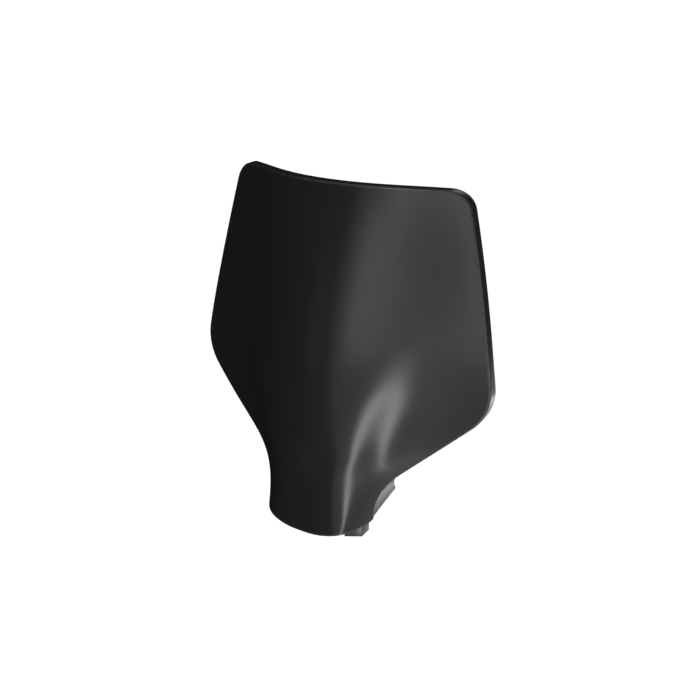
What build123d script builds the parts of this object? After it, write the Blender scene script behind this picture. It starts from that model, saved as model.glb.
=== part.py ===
import os
from math import atan2, cos, hypot, radians, sin, tan

from build123d import *

# Racing number board, one moulding. Millimetres, X across, Y to the rear, Z up.
# The origin is the middle of the screw hole, on the top of its boss.

# Outline seen from the front, heights counted from the foot of the neck
board_height = 279.5
top_width = 198.5
top_crown = 4.0
top_radius = 19.5
wing_width = 264.5
wing_height = 113.5
wing_radius = 36.0
side_bow = 2.1
neck_width = 99.0
neck_height = 36.5
neck_radius = 54.0
foot_width = 96.0
foot_crown = 9.0
foot_radius = 5.0

# Moulded wall and its turned-back rim
wall = 2.6
rim_depth = 10.0
edge_break = 1.0

# Screw hole, and the bracket behind the neck that carries it
screw_diameter = 6.5
screw_setback = 48.0
screw_rise = 23.2
boss_diameter = 15.0
boss_height = 1.6
bracket_tilt = 14.0
bracket_reach = 12.5
bracket_floor = 3.0
cheek_height = 26.0
cheek_lean = 13.5

# Holding lugs under the bracket
lug_inner = 30.0
lug_outer = 42.0
lug_front = 36.5
lug_sweep = 7.5
lug_depth = 11.5
lug_drop = 4.0

# Sections of the skin: height as a share of the board, half width of the flat nose and its depth
# behind the front plane, half width and depth at the root of the side wall, and depth at the rim
sections = [
    (0.00, 31.5, -8.5, 43.5, -3.0, 107.0),
    (0.13, 36.5, -3.5, 48.5, 19.5, 65.0),
    (0.27, 32.5, -8.0, 67.5, 31.0, 47.0),
    (0.42, 32.5, -12.0, 89.0, 40.0, 53.5),
    (0.62, 28.5, -6.0, 101.0, 49.0, 59.5),
    (0.82, 31.5, 5.5, 102.0, 58.0, 62.0),
    (1.00, 43.5, 17.5, 100.0, 68.0, 63.5),
]
skin_margin = 4.5

foot_z = -screw_rise
top_z = foot_z + board_height
wing_z = foot_z + wing_height
neck_z = foot_z + neck_height
clear = 2 * board_height

# The neck's blend is limited by the straight side that it has to fit on
neck_side = hypot((foot_width - neck_width) / 2, neck_height - foot_crown)
neck_turn = atan2((wing_width - neck_width) / 2, wing_height - neck_height)
neck_turn += atan2((foot_width - neck_width) / 2, neck_height - foot_crown)
neck_blend = min(neck_radius, (neck_side - foot_radius) / tan(neck_turn / 2))

# Half widths of the sections, wide enough to leave a margin all round the outline
section_widths = [
    foot_width / 2 + 2.8 * skin_margin,
    neck_width / 2 + 6.6 * skin_margin,
    wing_width / 2 - 4 * skin_margin,
    wing_width / 2 + 3.5 * skin_margin,
    wing_width / 2 + 2.2 * skin_margin,
    top_width / 2 + 5.7 * skin_margin,
    top_width / 2 + 3.5 * skin_margin,
]
knots = [0, 0, 0, 0, 1 / 3, 2 / 3, 1, 1, 1, 1]

# Blank whose front is the skin: flat nose, steep side walls and swept wings, lofted up the board
with BuildPart() as blank:
    for (share, nose_x, nose_y, wall_x, wall_y, rim_y), rim_x in zip(sections, section_widths):
        height = foot_z - skin_margin + share * (board_height + 2 * skin_margin)
        with BuildSketch(Plane.XY.offset(height)):
            with BuildLine():
                right = [(nose_x, nose_y), (wall_x, wall_y), (rim_x, rim_y)]
                right = [(x, y - screw_setback) for x, y in right]
                left = [(-x, y) for x, y in reversed(right)]
                BSpline(left + right, knots, 3)
                Polyline(right[-1], (rim_x, clear), (-rim_x, clear), left[0])
            make_face()
    loft()
skin = blank.faces().sort_by(Axis.Y)[0]

# Front outline: crowned top, bowed sides, straight lower edges and a short neck
with BuildSketch(Plane.XZ) as outline:
    with BuildLine():
        top_corner = (top_width / 2, top_z - top_crown)
        wing_corner = (wing_width / 2, wing_z)
        foot_corner = (foot_width / 2, foot_z + foot_crown)
        ThreePointArc((-top_corner[0], top_corner[1]), (0, top_z), top_corner)
        side = SagittaArc(top_corner, wing_corner, side_bow)
        lower = Polyline(wing_corner, (neck_width / 2, neck_z), foot_corner)
        mirror(side, about=Plane.YZ)
        mirror(lower, about=Plane.YZ)
        ThreePointArc((-foot_corner[0], foot_corner[1]), (0, foot_z), foot_corner)
    make_face()
    fillet(outline.vertices().group_by(Axis.Y)[-1], radius=top_radius)
    fillet(outline.vertices().group_by(Axis.Y)[2], radius=wing_radius)
    fillet(outline.vertices().group_by(Axis.Y)[1], radius=neck_blend)
    fillet(outline.vertices().group_by(Axis.Y)[0], radius=foot_radius)

with BuildSketch(Plane.XZ) as inside:
    offset(outline.sketch, amount=-wall)

# Faces inside the wall: its back, and the middle where the bracket roots in it
with BuildPart() as sheet:
    thicken(skin, amount=wall, normal_override=(0, 1, 0))
inner_face = sheet.faces().sort_by(SortBy.AREA)[-2:].sort_by(Axis.Y)[-1]

with BuildPart() as half_sheet:
    thicken(skin, amount=wall / 2, normal_override=(0, 1, 0))
middle_face = half_sheet.faces().sort_by(SortBy.AREA)[-2:].sort_by(Axis.Y)[-1]

# Hollow behind the wall, inside the rim
with BuildPart() as hollow:
    extrude(inner_face, amount=clear, dir=(0, 1, 0))
    extrude(inside.sketch, amount=clear, both=True, mode=Mode.INTERSECT)

# Bracket: the neck's sides run on to the rear as cheeks, with a tilted floor between them
tilt = radians(bracket_tilt)
seat = Plane(origin=(0, 0, 0), x_dir=(1, 0, 0), z_dir=(0, -sin(tilt), cos(tilt)))
floor_top = -boss_height
floor_under = floor_top - bracket_floor
cheek_top = floor_under + cheek_height
profile = [
    (-clear, floor_under),
    (bracket_reach, floor_under),
    (bracket_reach - cheek_lean, cheek_top),
    (-clear, cheek_top),
]
trough = [(-clear, floor_top), (clear, floor_top), (clear, clear), (-clear, clear)]
below = [(-clear, floor_under), (clear, floor_under), (clear, -clear), (-clear, -clear)]

with BuildPart() as channel:
    with BuildSketch(Plane.YZ):
        with BuildLine():
            corners = [seat.from_local_coords((0, y, z)) for y, z in trough]
            Polyline([(point.Y, point.Z) for point in corners], close=True)
        make_face()
    extrude(amount=clear, both=True)
    extrude(inside.sketch, amount=clear, both=True, mode=Mode.INTERSECT)

# Space under the bracket, where the neck has no rim
with BuildPart() as under_neck:
    with BuildSketch(Plane.YZ):
        with BuildLine():
            corners = [seat.from_local_coords((0, y, z)) for y, z in below]
            Polyline([(point.Y, point.Z) for point in corners], close=True)
        make_face()
    extrude(amount=clear, both=True)
    extrude(inner_face, amount=clear, dir=(0, 1, 0), mode=Mode.INTERSECT)

with BuildPart() as bracket:
    with BuildSketch(Plane.YZ):
        with BuildLine():
            corners = [seat.from_local_coords((0, y, z)) for y, z in profile]
            Polyline([(point.Y, point.Z) for point in corners], close=True)
        make_face()
    extrude(amount=clear, both=True)
    extrude(outline.sketch, amount=clear, both=True, mode=Mode.INTERSECT)
    add(channel.part, mode=Mode.SUBTRACT)
    with BuildSketch(seat):
        Circle(boss_diameter / 2)
    extrude(amount=floor_under)
    with Locations(seat):
        Hole(screw_diameter / 2, depth=-floor_under)
    extrude(middle_face, amount=clear, dir=(0, 1, 0), mode=Mode.INTERSECT)

# Pair of lugs that hang from the bracket's floor
with BuildPart() as lugs:
    with BuildSketch(Plane.XY.offset(foot_z - lug_drop)):
        with BuildLine():
            lug_rear = lug_sweep - lug_front + lug_depth
            Polyline(
                (lug_inner, -lug_front),
                (lug_outer, lug_sweep - lug_front),
                (lug_outer, lug_rear),
                (lug_inner, lug_rear),
                close=True,
            )
        make_face()
        mirror(about=Plane.YZ)
    extrude(amount=clear)
    split(bisect_by=seat.offset((floor_top + floor_under) / 2), keep=Keep.BOTTOM)

# Shield: skin, rim and hollow, with its front edge broken, then bracket and lugs
with BuildPart() as number_board:
    extrude(skin, amount=rim_depth, dir=(0, 1, 0))
    extrude(outline.sketch, amount=clear, both=True, mode=Mode.INTERSECT)
    front_face = number_board.faces().sort_by(SortBy.AREA)[-2:].sort_by(Axis.Y)[0]
    chamfer(front_face.edges(), length=edge_break)
    add(hollow.part, mode=Mode.SUBTRACT)
    add(under_neck.part, mode=Mode.SUBTRACT)
    add(bracket.part)
    add(lugs.part)

number_board.part.label = "number_board"

os.makedirs("parts", exist_ok=True)
export_step(number_board.part, "parts/number_board.step")
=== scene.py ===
import math

import bpy
import numpy as np
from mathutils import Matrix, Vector


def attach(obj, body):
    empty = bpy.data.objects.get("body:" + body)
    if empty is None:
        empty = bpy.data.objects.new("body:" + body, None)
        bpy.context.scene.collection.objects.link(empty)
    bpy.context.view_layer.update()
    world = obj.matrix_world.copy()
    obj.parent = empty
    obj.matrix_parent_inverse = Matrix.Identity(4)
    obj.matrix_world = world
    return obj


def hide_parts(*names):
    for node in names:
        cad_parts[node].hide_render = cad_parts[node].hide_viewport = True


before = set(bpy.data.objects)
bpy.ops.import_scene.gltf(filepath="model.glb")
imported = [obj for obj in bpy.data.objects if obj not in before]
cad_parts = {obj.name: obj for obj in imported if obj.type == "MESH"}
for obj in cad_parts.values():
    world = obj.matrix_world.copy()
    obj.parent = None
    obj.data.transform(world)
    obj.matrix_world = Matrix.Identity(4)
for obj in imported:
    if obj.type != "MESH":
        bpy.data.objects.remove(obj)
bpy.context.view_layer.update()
scene = bpy.context.scene
scene.view_settings.view_transform = "Standard"


class Sock:  # a node socket that takes part in Python sums
    def __init__(self, tree, out):
        self.tree = tree
        self.out = out

    def math(self, operation, other):
        return addNode(self.tree, "ShaderNodeMath", {"operation": operation}, [self, other])

    def __add__(self, other):
        return self.math("ADD", other)

    def __mul__(self, other):
        return self.math("MULTIPLY", other)

    def __sub__(self, other):
        return self.math("SUBTRACT", other)

    def __rsub__(self, other):
        return addNode(self.tree, "ShaderNodeMath", {"operation": "SUBTRACT"}, [other, self])

    __radd__ = __add__
    __rmul__ = __mul__


def addNode(tree, kind, settings=None, inputs=None, output=0):
    node = tree.nodes.new(kind)
    for key, value in (settings or {}).items():
        setattr(node, key, value)
    pairs = enumerate(inputs) if isinstance(inputs, list) else (inputs or {}).items()
    for key, value in pairs:
        if isinstance(value, Sock):
            tree.links.new(value.out, node.inputs[key])
        else:
            node.inputs[key].default_value = value
    return Sock(tree, node.outputs[output])


def clearSelection():
    if bpy.context.object and bpy.context.object.mode != "OBJECT":
        bpy.ops.object.mode_set(mode="OBJECT")
    bpy.ops.object.select_all(action="DESELECT")


def pick(obj):
    clearSelection()
    obj.select_set(True)
    bpy.context.view_layer.objects.active = obj


def addGrid(columns, rows):  # a flat grid, whose points get their places later
    clearSelection()
    bpy.ops.mesh.primitive_grid_add(x_subdivisions=columns - 1, y_subdivisions=rows - 1, size=1)
    return bpy.context.object


def setPlaces(obj, places):  # places in millimetres
    obj.data.vertices.foreach_set("co", (np.array(places, float) / 1000).astype(np.float32).ravel())
    obj.data.update()


def applyModifier(obj, kind, **settings):
    pick(obj)
    modifier = obj.modifiers.new(kind.lower(), kind)
    for key, value in settings.items():
        setattr(modifier, key, value)
    bpy.ops.object.modifier_apply(modifier=modifier.name)


def turnOut(obj, merge=0):  # merge is in millimetres
    pick(obj)
    bpy.ops.object.mode_set(mode="EDIT")
    bpy.ops.mesh.select_all(action="SELECT")
    if merge:
        bpy.ops.mesh.remove_doubles(threshold=merge / 1000)
    bpy.ops.mesh.normals_make_consistent(inside=False)
    bpy.ops.object.mode_set(mode="OBJECT")


# Camera: where the photograph was taken from
view = {
    "turn": 32.96,  # degrees round to the right of the board's front
    "rise": 19.43,  # degrees above level
    "aim": (0.0, -0.048, 0.1758),
    "distance": 0.740,
    "sensor": 36,
    "lens": 51.82,
    "shift": (0.0647, -0.0813),
}


def placeCamera():
    turn = math.radians(view["turn"])
    rise = math.radians(view["rise"])
    back = Vector((math.sin(turn) * math.cos(rise), -math.cos(turn) * math.cos(rise), math.sin(rise)))
    bpy.ops.object.camera_add(location=Vector(view["aim"]) + back * view["distance"])
    camera = bpy.context.object
    camera.rotation_euler = back.to_track_quat("Z", "Y").to_euler()
    camera.data.sensor_width = view["sensor"]
    camera.data.lens = view["lens"]
    camera.data.shift_x, camera.data.shift_y = view["shift"]
    scene.camera = camera
    print("camera", [round(v, 3) for v in camera.location])


placeCamera()

# Black moulded plastic, satin, a little worn on its edges
plastic = {
    "shade": (0.0105, 0.0105, 0.0105, 1),
    "wornShade": (0.019, 0.019, 0.019, 1),
    "roughness": 0.225, "specular": 0.205,
    "grainSize": 2600, "grainDetail": 2.0, "grainRough": 0.05,  # moulded grain
    "grainStrength": 0.25, "grainDepth": 0.00002,
    "cloudSize": 18, "cloudDetail": 4.0, "cloudRough": 0.07,  # uneven sheen
    "scuffSize": 160, "scuffDetail": 3.0, "scuffRough": 0.06,  # rubbed spots along the edges
    "scuffGain": 2.4, "scuffCut": 0.6,
    "rippleSize": 9, "rippleDetail": 1.0,  # slight sink of a thin wall
    "rippleStrength": 1.0, "rippleDepth": 0.00012,
    "noiseMean": 0.5,
}


def makePlastic():
    p = plastic
    material = bpy.data.materials.new("satinBlackPlastic")
    material.use_nodes = True
    tree = material.node_tree
    shader = tree.nodes["Principled BSDF"]
    place = addNode(tree, "ShaderNodeTexCoord", output=3)  # Object coordinates

    def noise(name):
        sockets = {"Vector": place, "Scale": p[name + "Size"], "Detail": p[name + "Detail"]}
        return addNode(tree, "ShaderNodeTexNoise", None, sockets)

    def bump(name, height, **more):
        sockets = {"Height": height, "Strength": p[name + "Strength"], "Distance": p[name + "Depth"], **more}
        return addNode(tree, "ShaderNodeBump", None, sockets)

    grain, cloud, scuff, ripple = (noise(name) for name in ("grain", "cloud", "scuff", "ripple"))
    edge = addNode(tree, "ShaderNodeAttribute", {"attribute_name": "edgeWear"}, output=2)
    rubbed = scuff * p["scuffGain"] - p["scuffCut"]
    worn = edge * rubbed.math("MINIMUM", 1.0).math("MAXIMUM", 0.0)
    colours = {0: worn, 6: p["shade"], 7: p["wornShade"]}  # 6 and 7 are the Mix node's colour sockets
    shade = addNode(tree, "ShaderNodeMix", {"data_type": "RGBA"}, colours, output=2)
    uneven = (cloud - p["noiseMean"]) * p["cloudRough"] + (grain - p["noiseMean"]) * p["grainRough"]
    rough = p["roughness"] + uneven + worn * p["scuffRough"]
    relief = bump("ripple", ripple, Normal=bump("grain", grain))
    tree.links.new(shade.out, shader.inputs["Base Color"])
    tree.links.new(rough.out, shader.inputs["Roughness"])
    tree.links.new(relief.out, shader.inputs["Normal"])
    shader.inputs["Specular IOR Level"].default_value = p["specular"]
    print("plastic", len(tree.nodes), "nodes")
    return material


blackPlastic = makePlastic()

# Board: the moulding's own sizes, in millimetres
board = {
    "node": "number_board",
    "foot": -23.2, "height": 279.5, "setback": 48.0,
    "topWidth": 198.5, "topCrown": 4.0, "topRadius": 19.5,
    "wingWidth": 264.5, "wingHeight": 113.5, "wingRadius": 36.0, "sideBow": 2.1,
    "neckWidth": 99.0, "neckHeight": 36.5, "neckRadius": 54.0,
    "footWidth": 96.0, "footCrown": 9.0, "footRadius": 5.0,
    "wall": 2.6, "rim": 10.0, "rimLeast": 0.6, "round": 1.8, "rearRound": 0.5,
    "margin": 4.5,  # the sections run past the foot and the top by this
    "heights": (0.00, 0.13, 0.27, 0.42, 0.62, 0.82, 1.00),  # where the sections lie, from margin to margin
    "noseHalf": (31.5, 36.5, 32.5, 32.5, 28.5, 31.5, 43.5),
    "noseDepth": (-8.5, -3.5, -8.0, -12.0, -6.0, 5.5, 17.5),
    "wallHalf": (43.5, 48.5, 67.5, 89.0, 101.0, 102.0, 100.0),
    "wallDepth": (-3.0, 19.5, 31.0, 40.0, 49.0, 58.0, 68.0),
    "rimHalf": (60.6, 79.2, 114.25, 148.0, 142.15, 124.9, 115.0),
    "rimDepth": (107.0, 65.0, 47.0, 53.5, 59.5, 62.0, 63.5),
    "creaseHeight": (-23.0, 6.0, 28.0, 46.0, 64.0, 86.0, 112.0, 150.0),  # steeper band in the side wall
    "creaseMiddle": (25.0, 32.5, 40.0, 46.0, 50.0, 56.5, 64.0, 72.0),
    "creaseHalf": (11.0, 12.0, 12.5, 10.5, 12.0, 13.0, 12.5, 11.5),
    "creaseRise": (0.055, 0.105, 0.13, 0.215, 0.165, 0.125, 0.06, 0.0),
    "creaseFade": 8.0,  # nothing of it on the middle line
    "linePoints": 400, "step": 2.4, "turnStep": 5.0, "neckFine": 0.3,  # how fine the outline is
    "spineFoot": 14.0, "spineTop": 30.0,  # where the rows start, short of the foot and the top
    "acrossRows": 40, "roundRows": 6, "rimRows": (0.3, 0.7), "rearTurns": (0, 30, 60, 90),
    "edgeInset": 0.4, "slopeInset": 0.3, "merge": 0.005, "smooth": 35,
}

# Bracket behind the neck: tilted floor with the screw hole, two cheeks and two lugs, in millimetres
bracket = {
    "tilt": 14.0, "reach": 12.5, "floor": 3.0, "bossHeight": 1.6, "bossWide": 15.0, "screwWide": 6.5,
    "floorSide": 0.6, "floorFront": 0.75,  # how far behind the outer face the floor ends, in walls
    "cheekHeight": 26.0, "cheekLean": 13.5, "cheekBite": 0.6,
    "lugInner": 30.0, "lugOuter": 42.0, "lugFront": 36.5, "lugSweep": 7.5, "lugDepth": 11.5, "lugDrop": 4.0,
    "soft": 0.45, "softSteps": 3,
    "floorGrid": (49, 13), "cheekGrid": (17, 15), "roundSides": 64, "screwPast": 2,
    "floorGuess": -30.0, "cheekGuess": -12.0, "tries": 12, "ease": 0.7,  # search for the front edges
}


def splineThrough(knots, values, at):  # smooth curve through a few section values
    knots, values = np.array(knots, float), np.array(values, float)
    gap = np.diff(knots)
    count = len(knots)
    system = np.eye(count)
    right = np.zeros(count)
    for i in range(1, count - 1):
        system[i, i - 1:i + 2] = gap[i - 1], 2 * (gap[i - 1] + gap[i]), gap[i]
        right[i] = 6 * ((values[i + 1] - values[i]) / gap[i] - (values[i] - values[i - 1]) / gap[i - 1])
    bend = np.linalg.solve(system, right)
    i = np.clip(np.searchsorted(knots, at) - 1, 0, count - 2)
    a, b = knots[i + 1] - at, at - knots[i]
    h = gap[i]
    cubic = (bend[i] * a ** 3 + bend[i + 1] * b ** 3) / (6 * h)
    return cubic + (values[i] / h - bend[i] * h / 6) * a + (values[i + 1] / h - bend[i + 1] * h / 6) * b


def sectionWeights(t):  # the six weights of a clamped cubic curve at t
    knots = np.array([0, 0, 0, 0, 1 / 3, 2 / 3, 1, 1, 1, 1])
    t = np.minimum(t, 1 - 1e-12)  # just short of the end
    basis = [((t >= knots[i]) & (t < knots[i + 1])).astype(float) for i in range(9)]
    for degree in (1, 2, 3):
        rise = []
        for i in range(9 - degree):
            left = knots[i + degree] - knots[i]
            right = knots[i + degree + 1] - knots[i + 1]
            part = basis[i] * (t - knots[i]) / left if left else 0 * t
            rise.append(part + (basis[i + 1] * (knots[i + degree + 1] - t) / right if right else 0))
        basis = rise
    return np.stack(basis, -1)


def creaseDepth(x, z):  # the steeper band in the neck's side wall
    b = board
    at = np.clip(z, b["creaseHeight"][0], b["creaseHeight"][-1])
    rows = (b["crease" + k] for k in ("Middle", "Half", "Rise"))
    middle, half, rise = (splineThrough(b["creaseHeight"], row, at) for row in rows)
    t = (np.abs(x) - middle) / half
    fade = np.clip(np.abs(x) / b["creaseFade"], 0, 1) ** 2
    return fade * rise * half * t * np.exp(-t * t / 2)


def skinDepth(x, z, halvings=40):  # how far to the rear the front skin lies at each point
    b = board
    share = (z - b["foot"] + b["margin"]) / (b["height"] + 2 * b["margin"])

    def sections(measure):
        rows = (b[k + measure] for k in ("nose", "wall", "rim"))
        return np.stack([splineThrough(b["heights"], row, share) for row in rows], -1)

    half, deep = sections("Half"), sections("Depth")
    low, high = np.full(x.shape, 0.5), np.ones(x.shape)
    for _ in range(halvings):  # the place along the section that lies at x
        middle = (low + high) / 2
        w = sectionWeights(middle)
        reach = ((w[..., 3:] - w[..., 2::-1]) * half).sum(-1)
        low = np.where(reach < np.abs(x), middle, low)
        high = np.where(reach < np.abs(x), high, middle)
    w = sectionWeights((low + high) / 2)
    return ((w[..., 3:] + w[..., 2::-1]) * deep).sum(-1) - b["setback"] + creaseDepth(x, z)


def skinSlope(x, z, h=0.05):
    across = (skinDepth(x + h, z) - skinDepth(x - h, z)) / (2 * h)
    along = (skinDepth(x, z + h) - skinDepth(x, z - h)) / (2 * h)
    return across, along


def skinBack(x, z):  # the back of the wall
    across, along = skinSlope(x, z)
    return skinDepth(x, z) + board["wall"] * np.sqrt(1 + across ** 2 + along ** 2)


def arcThrough(start, end, bow, count):  # arc that stands out by bow to the right of start to end
    start, end = np.array(start, float), np.array(end, float)
    chord = np.linalg.norm(end - start)
    radius = (chord ** 2 / 4 + bow ** 2) / (2 * bow)
    along = (end - start) / chord
    out = np.array([along[1], -along[0]])
    middle = (start + end) / 2 - out * (radius - bow)
    reach = math.asin(chord / 2 / radius)
    turn = np.linspace(-reach, reach, count)[:, None]
    return middle + radius * (np.cos(turn) * out + np.sin(turn) * along)


def straight(start, end, count):
    return np.linspace(np.array(start, float), np.array(end, float), count)


def shifted(line, amount):  # line moved to its left by amount
    way = np.gradient(line, axis=0)
    way /= np.linalg.norm(way, axis=1)[:, None]
    return line + amount * np.stack([-way[:, 1], way[:, 0]], -1)


def blendCorner(first, second, radius, stepTurn, tiny=1e-12):  # round the corner from first to second
    a, b = shifted(first, radius), shifted(second, radius)
    p, r = a[:-1, None], (a[1:] - a[:-1])[:, None]
    q, s = b[None, :-1], (b[1:] - b[:-1])[None]
    cross = r[..., 0] * s[..., 1] - r[..., 1] * s[..., 0]
    gap = q - p
    cross = np.where(np.abs(cross) < tiny, tiny, cross)
    t = (gap[..., 0] * s[..., 1] - gap[..., 1] * s[..., 0]) / cross
    u = (gap[..., 0] * r[..., 1] - gap[..., 1] * r[..., 0]) / cross
    i, j = np.argwhere((t >= 0) & (t <= 1) & (u >= 0) & (u <= 1))[0]
    centre = a[i] + t[i, j] * (a[i + 1] - a[i])
    head = first[i] + t[i, j] * (first[i + 1] - first[i])
    tail = second[j] + u[i, j] * (second[j + 1] - second[j])
    start, end = np.arctan2(*(head - centre)[::-1]), np.arctan2(*(tail - centre)[::-1])
    sweep = (end - start + math.pi) % (2 * math.pi) - math.pi
    count = max(3, math.ceil(abs(math.degrees(sweep)) / stepTurn) + 1)
    turn = start + np.linspace(0, sweep, count)[:, None]
    arc = centre + abs(radius) * np.hstack([np.cos(turn), np.sin(turn)])
    return np.vstack([first[:i + 1], head]), arc, np.vstack([tail, second[j + 1:]])


def evened(line, step):  # the same line with even steps
    run = np.concatenate([[0], np.cumsum(np.linalg.norm(np.diff(line, axis=0), axis=1))])
    at = np.linspace(0, run[-1], max(2, math.ceil(run[-1] / step) + 1))
    return np.stack([np.interp(at, run, line[:, k]) for k in range(2)], -1)


def boardOutline():  # closed front outline, from the middle of the foot up the right side and round
    b = board
    n = b["linePoints"]
    foot, top = b["foot"], b["foot"] + b["height"]
    footCorner = (b["footWidth"] / 2, foot + b["footCrown"])
    neck = (b["neckWidth"] / 2, foot + b["neckHeight"])
    wing = (b["wingWidth"] / 2, foot + b["wingHeight"])
    topCorner = (b["topWidth"] / 2, top - b["topCrown"])
    lines = [
        arcThrough((-footCorner[0], footCorner[1]), footCorner, b["footCrown"], 2 * n + 1)[n:],
        straight(footCorner, neck, n), straight(neck, wing, n),
        arcThrough(wing, topCorner, b["sideBow"], n),
        arcThrough(topCorner, (-topCorner[0], topCorner[1]), b["topCrown"], 2 * n + 1)[:n + 1],
    ]
    blends = [  # radius and fineness, finer where the bracket meets the neck
        (b["footRadius"], 1), (-b["neckRadius"], b["neckFine"]), (b["wingRadius"], 1), (b["topRadius"], 1),
    ]
    pieces = []
    for k, (radius, fine) in enumerate(blends):
        lines[k], arc, lines[k + 1] = blendCorner(lines[k], lines[k + 1], radius, b["turnStep"] * fine)
        pieces += [evened(lines[k], b["step"] * fine)[:-1], arc[:-1]]
    half = np.vstack(pieces + [evened(lines[4], b["step"])])
    half[0, 0] = half[-1, 0] = 0
    return np.vstack([half, half[-2::-1] * (-1, 1)])


def outlineNormals(loop):
    way = np.roll(loop[:-1], -1, axis=0) - np.roll(loop[:-1], 1, axis=0)
    way /= np.linalg.norm(way, axis=1)[:, None]
    out = np.stack([way[:, 1], -way[:, 0]], -1)
    return np.vstack([out, out[:1]])


def onSeat(y, z):  # from the bracket's own slope to the board's frame
    tilt = math.radians(bracket["tilt"])
    return y * math.cos(tilt) - z * math.sin(tilt), y * math.sin(tilt) + z * math.cos(tilt)


def seatUnder(z):  # how far to the rear the bracket's underside lies at a height
    tilt = math.radians(bracket["tilt"])
    return (z + (bracket["bossHeight"] + bracket["floor"]) / math.cos(tilt)) / math.tan(tilt)


def shellRows(loop):  # rows of points, depths and wear, from the front's middle round the rim to the rear's
    b = board
    out = outlineNormals(loop)
    x, z = loop.T
    low, high = b["foot"] + b["spineFoot"], b["foot"] + b["height"] - b["spineTop"]
    spine = np.stack([0 * z, np.clip(z, low, high)], -1)
    across, along = skinSlope(*(loop - b["slopeInset"] * out).T)
    fall = np.arctan(across * out[:, 0] + along * out[:, 1])  # slope of the skin towards its edge
    edge = skinDepth(x, z)
    start = -b["round"] * (1 - np.sin(fall))  # where the round leaves the skin
    hub = edge + start * np.tan(fall) + b["round"] * np.cos(fall)
    inner = loop - out * b["wall"]
    floor = skinBack(*inner.T)
    least = np.maximum(floor, hub) + b["rimLeast"]
    rear = np.maximum(np.minimum(edge + b["rim"], seatUnder(z)), least)  # no rim under the bracket
    ring = loop + out * start[:, None]
    rows = []
    for t in np.linspace(0, 1, b["acrossRows"])[:-1]:
        points = spine + (ring - spine) * t
        rows.append((points, skinDepth(*points.T), 0))
    points = ring - out * b["edgeInset"]
    rows.append((points, skinDepth(*points.T), 0))
    for t in np.linspace(0, 1, b["roundRows"]):
        turn = -(math.pi / 2 - fall) * (1 - t)
        reach = b["round"] * (np.cos(turn) - 1)
        rows.append((loop + out * reach[:, None], hub + b["round"] * np.sin(turn), 1))
    for t in b["rimRows"]:
        rows.append((loop, hub + (rear - b["rearRound"] - hub) * t, 0))
    turns = np.radians(b["rearTurns"])
    for turn in turns:
        reach = b["rearRound"] * (math.cos(turn) - 1)
        rows.append((loop + out * reach, rear + b["rearRound"] * (math.sin(turn) - 1), 1))
    for turn in turns[::-1]:
        reach = b["rearRound"] * (1 - math.cos(turn)) - b["wall"]
        rows.append((loop + out * reach, rear + b["rearRound"] * (math.sin(turn) - 1), 1))
    rows.append((inner, (rear + floor) / 2, 0))
    for t in np.linspace(1, 0, b["acrossRows"]):
        points = spine + (inner - spine) * t
        rows.append((points, skinBack(*points.T), 0))
    return rows


def makeShell():
    loop = boardOutline()
    rows = shellRows(loop)
    columns = len(loop)
    shell = addGrid(columns, len(rows))
    shell.name = "boardMoulding"
    setPlaces(shell, np.concatenate([np.column_stack([p[:, 0], d, p[:, 1]]) for p, d, _ in rows]))
    wear = np.repeat([w for _, _, w in rows], columns).astype(np.float32)
    shell.data.attributes.new("edgeWear", "FLOAT", "POINT").data.foreach_set("value", wear)
    turnOut(shell, board["merge"])
    print("shell", columns, "by", len(rows), "rows,", len(shell.data.polygons), "faces")
    return shell


def addRound(plate, wide, low, high, action):  # a round boss or hole, square to the bracket's floor
    clearSelection()
    y, z = onSeat(0, (low + high) / 2)
    bpy.ops.mesh.primitive_cylinder_add(
        vertices=bracket["roundSides"], radius=wide / 2000, depth=(high - low) / 1000,
        location=(0, y / 1000, z / 1000), rotation=(math.radians(bracket["tilt"]), 0, 0))
    tool = bpy.context.object
    applyModifier(plate, "BOOLEAN", object=tool, operation=action, solver="EXACT")
    bpy.data.objects.remove(tool)


def soften(part, **settings):  # small rounds on the bracket's edges
    applyModifier(part, "BEVEL", width=bracket["soft"] / 1000, segments=bracket["softSteps"], **settings)


def makeFloorPlate():
    b = bracket
    columns, steps = b["floorGrid"]
    top = -b["bossHeight"]
    side = np.linspace(-1, 1, columns)
    wide = board["neckWidth"] / 2 - board["wall"] * b["floorSide"]
    front = np.full(columns, b["floorGuess"])
    for _ in range(b["tries"]):  # the front edge ends inside the neck's wall
        y, z = onSeat(front, top - b["floor"] / 2)
        front += (skinDepth(side * wide, z) + board["wall"] * b["floorFront"] - y) * b["ease"]
    places = []
    for t in np.linspace(0, 1, steps):
        along = front + (b["reach"] - front) * t
        places.append(np.column_stack([side * wide, *onSeat(along, top)]))
    plate = addGrid(columns, steps)
    setPlaces(plate, np.concatenate(places))
    applyModifier(plate, "SOLIDIFY", thickness=b["floor"] / 1000, offset=-1)
    turnOut(plate)
    addRound(plate, b["bossWide"], top - b["floor"] / 2, 0, "UNION")
    addRound(plate, b["screwWide"], top - b["floor"] - b["screwPast"], b["screwPast"], "DIFFERENCE")
    return plate


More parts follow.
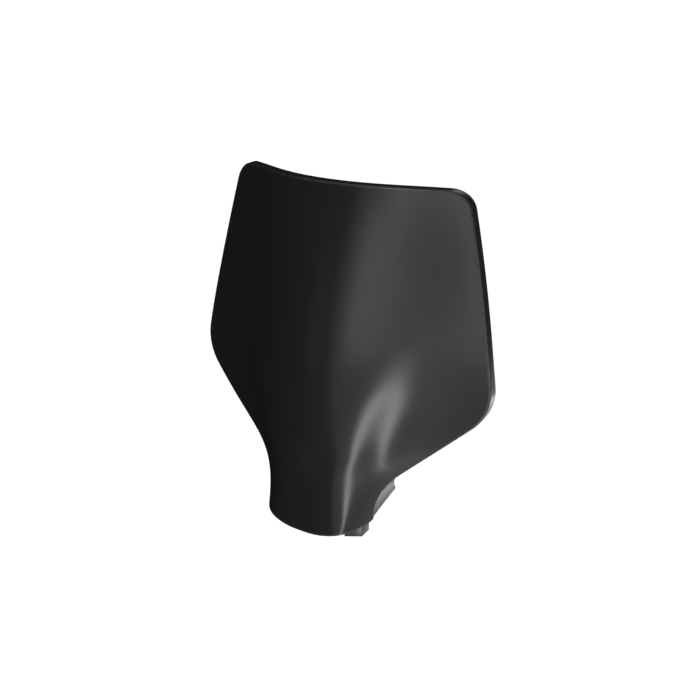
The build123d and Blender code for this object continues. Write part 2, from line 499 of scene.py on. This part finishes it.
def makeCheek(side):
    b = bracket
    loop = boardOutline()
    right = loop[: len(loop) // 2 + 1]
    columns, steps = b["cheekGrid"]
    t = np.linspace(0, 1, steps)
    up = b["cheekHeight"] * t - b["bossHeight"] - b["floor"]
    back = b["reach"] - b["cheekLean"] * t
    front = np.full(steps, b["cheekGuess"])
    for _ in range(b["tries"]):  # the front edge meets the rear of the neck's rim
        y, z = onSeat(front, up)
        x = np.interp(z, right[:, 1], right[:, 0])
        front += (skinDepth(x, z) + board["rim"] - b["cheekBite"] - y) * b["ease"]
    places = []
    for i in range(steps):
        y, z = onSeat(np.linspace(front[i], back[i], columns), up[i])
        places.append(np.column_stack([side * np.interp(z, right[:, 1], right[:, 0]), y, z]))
    cheek = addGrid(columns, steps)
    setPlaces(cheek, np.concatenate(places))
    applyModifier(cheek, "SOLIDIFY", thickness=board["wall"] / 1000, offset=-side)
    turnOut(cheek)
    soften(cheek, limit_method="ANGLE")
    return cheek


def makeLug(side):
    b = bracket
    outerFront = b["lugSweep"] - b["lugFront"]
    rear = outerFront + b["lugDepth"]
    corners = [
        (b["lugInner"], -b["lugFront"]), (b["lugOuter"], outerFront),
        (b["lugOuter"], rear), (b["lugInner"], rear),
    ]
    tilt = math.radians(b["tilt"])
    middle = -b["bossHeight"] - b["floor"] / 2  # the lug ends inside the bracket's floor
    clearSelection()
    bpy.ops.mesh.primitive_cube_add(size=1)
    lug = bpy.context.object
    places = []
    for vertex in lug.data.vertices:
        isRight, isRear, isUp = (value > 0 for value in vertex.co)
        x, y = corners[(3, 2)[isRight] if isRear else (0, 1)[isRight]]
        z = y * math.tan(tilt) + middle / math.cos(tilt) if isUp else board["foot"] - b["lugDrop"]
        places.append((side * x, y, z))
    setPlaces(lug, places)
    turnOut(lug)
    soften(lug)
    return lug


def joinBoard():
    shell = makeShell()
    parts = [makeFloorPlate(), makeCheek(1), makeCheek(-1), makeLug(1), makeLug(-1)]
    pick(shell)
    for part in parts:
        part.select_set(True)
    bpy.ops.object.join()
    print("bracket joined,", len(shell.data.polygons), "faces")
    return shell


def finishBoard(obj):
    pick(obj)
    bpy.ops.object.shade_smooth_by_angle(angle=math.radians(board["smooth"]))
    obj.data.materials.clear()
    obj.data.materials.append(blackPlastic)
    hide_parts(board["node"])
    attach(obj, "root")


boardMoulding = joinBoard()
finishBoard(boardMoulding)

# Floor and light
studio = {
    "white": (1, 1, 1, 1),
    "floorShade": (0.85, 0.85, 0.85, 1),
    "floorSize": 40.0,
    "floorDepth": -0.65,  # the board hangs clear of the floor
    "floorGlow": 0.6,
    "ambient": 0.5,
    "lampMiddle": (0.04, -0.04),  # what the softboxes stand round
}


def seenDirectly(tree):  # 1 for what the lens, a gloss or a glass shows
    outs = addNode(tree, "ShaderNodeLightPath").out.node.outputs
    rays = ("Is Camera Ray", "Is Glossy Ray", "Is Transmission Ray")
    camera, gloss, glass = (Sock(tree, outs[name]) for name in rays)
    return camera.math("MAXIMUM", gloss).math("MAXIMUM", glass)


def makeFloor():
    clearSelection()
    bpy.ops.mesh.primitive_plane_add(size=studio["floorSize"], location=(0, 0, studio["floorDepth"]))
    floor = bpy.context.object
    floor.name = "studioFloor"
    material = bpy.data.materials.new("paleFloor")
    material.use_nodes = True
    tree = material.node_tree
    tree.nodes.remove(tree.nodes["Principled BSDF"])
    paint = addNode(tree, "ShaderNodeBsdfDiffuse", None, {"Color": studio["floorShade"]})
    strength = seenDirectly(tree) * studio["floorGlow"]
    glow = addNode(tree, "ShaderNodeEmission", None, {"Color": studio["white"], "Strength": strength})
    both = addNode(tree, "ShaderNodeAddShader", None, [paint, glow])
    tree.links.new(both.out, tree.nodes["Material Output"].inputs["Surface"])
    floor.data.materials.append(material)


def makeWorld():
    world = bpy.data.worlds.new("studioAir")
    scene.world = world
    world.use_nodes = True
    tree = world.node_tree
    ground = tree.nodes["Background"]
    seen = seenDirectly(tree)
    level = seen + (1 - seen) * studio["ambient"]
    tree.links.new(level.out, ground.inputs["Strength"])
    ground.inputs["Color"].default_value = studio["white"]


# Black flag on the left and behind: only the gloss shows it
flag = {
    "radius": 0.62, "middle": (0, -0.03, 0.1), "segments": 360, "rings": 32,
    "shade": (0.01, 0.01, 0.01, 1),
    "from": -175, "to": 12, "low": -0.47, "high": 0.5,  # degrees round from the front, heights in metres
    "backFrom": 122, "backTo": 166, "backLow": -0.1,
}


def onFlag(centre):  # whether a spot of the dome stays
    turn = math.degrees(math.atan2(centre.x, -centre.y))
    left = flag["from"] < turn < flag["to"] and centre.z > flag["low"]
    behind = flag["backFrom"] < turn < flag["backTo"] and centre.z > flag["backLow"]
    return (left or behind) and centre.z < flag["high"]


def makeFlag():
    clearSelection()
    bpy.ops.mesh.primitive_uv_sphere_add(
        segments=flag["segments"], ring_count=flag["rings"], radius=flag["radius"], location=flag["middle"])
    dome = bpy.context.object
    dome.name = "blackFlag"
    bpy.ops.object.mode_set(mode="EDIT")
    bpy.ops.mesh.select_mode(type="FACE")
    bpy.ops.mesh.select_all(action="DESELECT")
    bpy.ops.object.mode_set(mode="OBJECT")
    for face in dome.data.polygons:
        face.select = not onFlag(face.center)
    bpy.ops.object.mode_set(mode="EDIT")
    bpy.ops.mesh.delete(type="FACE")
    bpy.ops.object.mode_set(mode="OBJECT")
    print("flag", len(dome.data.polygons), "faces")
    material = bpy.data.materials.new("blackCloth")
    material.use_nodes = True
    cloth = material.node_tree.nodes["Principled BSDF"]
    cloth.inputs["Base Color"].default_value = flag["shade"]
    cloth.inputs["Roughness"].default_value = 1
    cloth.inputs["Specular IOR Level"].default_value = 0
    dome.data.materials.append(material)
    dome.visible_camera = dome.visible_diffuse = dome.visible_shadow = dome.visible_transmission = False


# Softboxes round the board: turn, lean, height of the middle, distance, width, height, radiance
softboxes = {
    "strip": (45, 0, -0.065, 0.60, 0.05, 0.17, 20.0),
    "stripLow": (44, 0, -0.385, 0.60, 0.10, 0.47, 15.5),
    "upper": (27, 0, 0.16, 0.60, 0.20, 0.24, 2.6),
    "corner": (38, 0, 0.33, 0.60, 0.12, 0.12, 4.0),
    "over": (33, 40, 0.70, 0.52, 0.16, 0.30, 16.0),
    "side": (85, 0, 0.05, 0.60, 0.20, 0.40, 6.0),
    "front": (-8, 0, 0.05, 0.60, 0.42, 0.80, 0.2),
    "back": (147, 0, -0.20, 0.60, 0.26, 0.13, 3.4),
}


def addSoftbox(name, turn, lean, height, distance, wide, tall, level):
    a, e = math.radians(turn), math.radians(lean)
    away = Vector((math.sin(a), -math.cos(a), 0))
    facing = away * math.cos(e) + Vector((0, 0, math.sin(e)))
    middle = Vector((*studio["lampMiddle"], height))
    bpy.ops.object.light_add(type="AREA", location=middle + away * distance)
    lamp = bpy.context.object
    lamp.name = name + "Softbox"
    lamp.data.shape = "RECTANGLE"
    lamp.data.size, lamp.data.size_y = wide, tall
    lamp.data.energy = math.pi * wide * tall * level
    lamp.rotation_euler = facing.to_track_quat("Z", "Y").to_euler()
    lamp.visible_camera = False


makeFloor()
makeWorld()
makeFlag()
for name, sizes in softboxes.items():
    addSoftbox(name, *sizes)
print("studio ready")
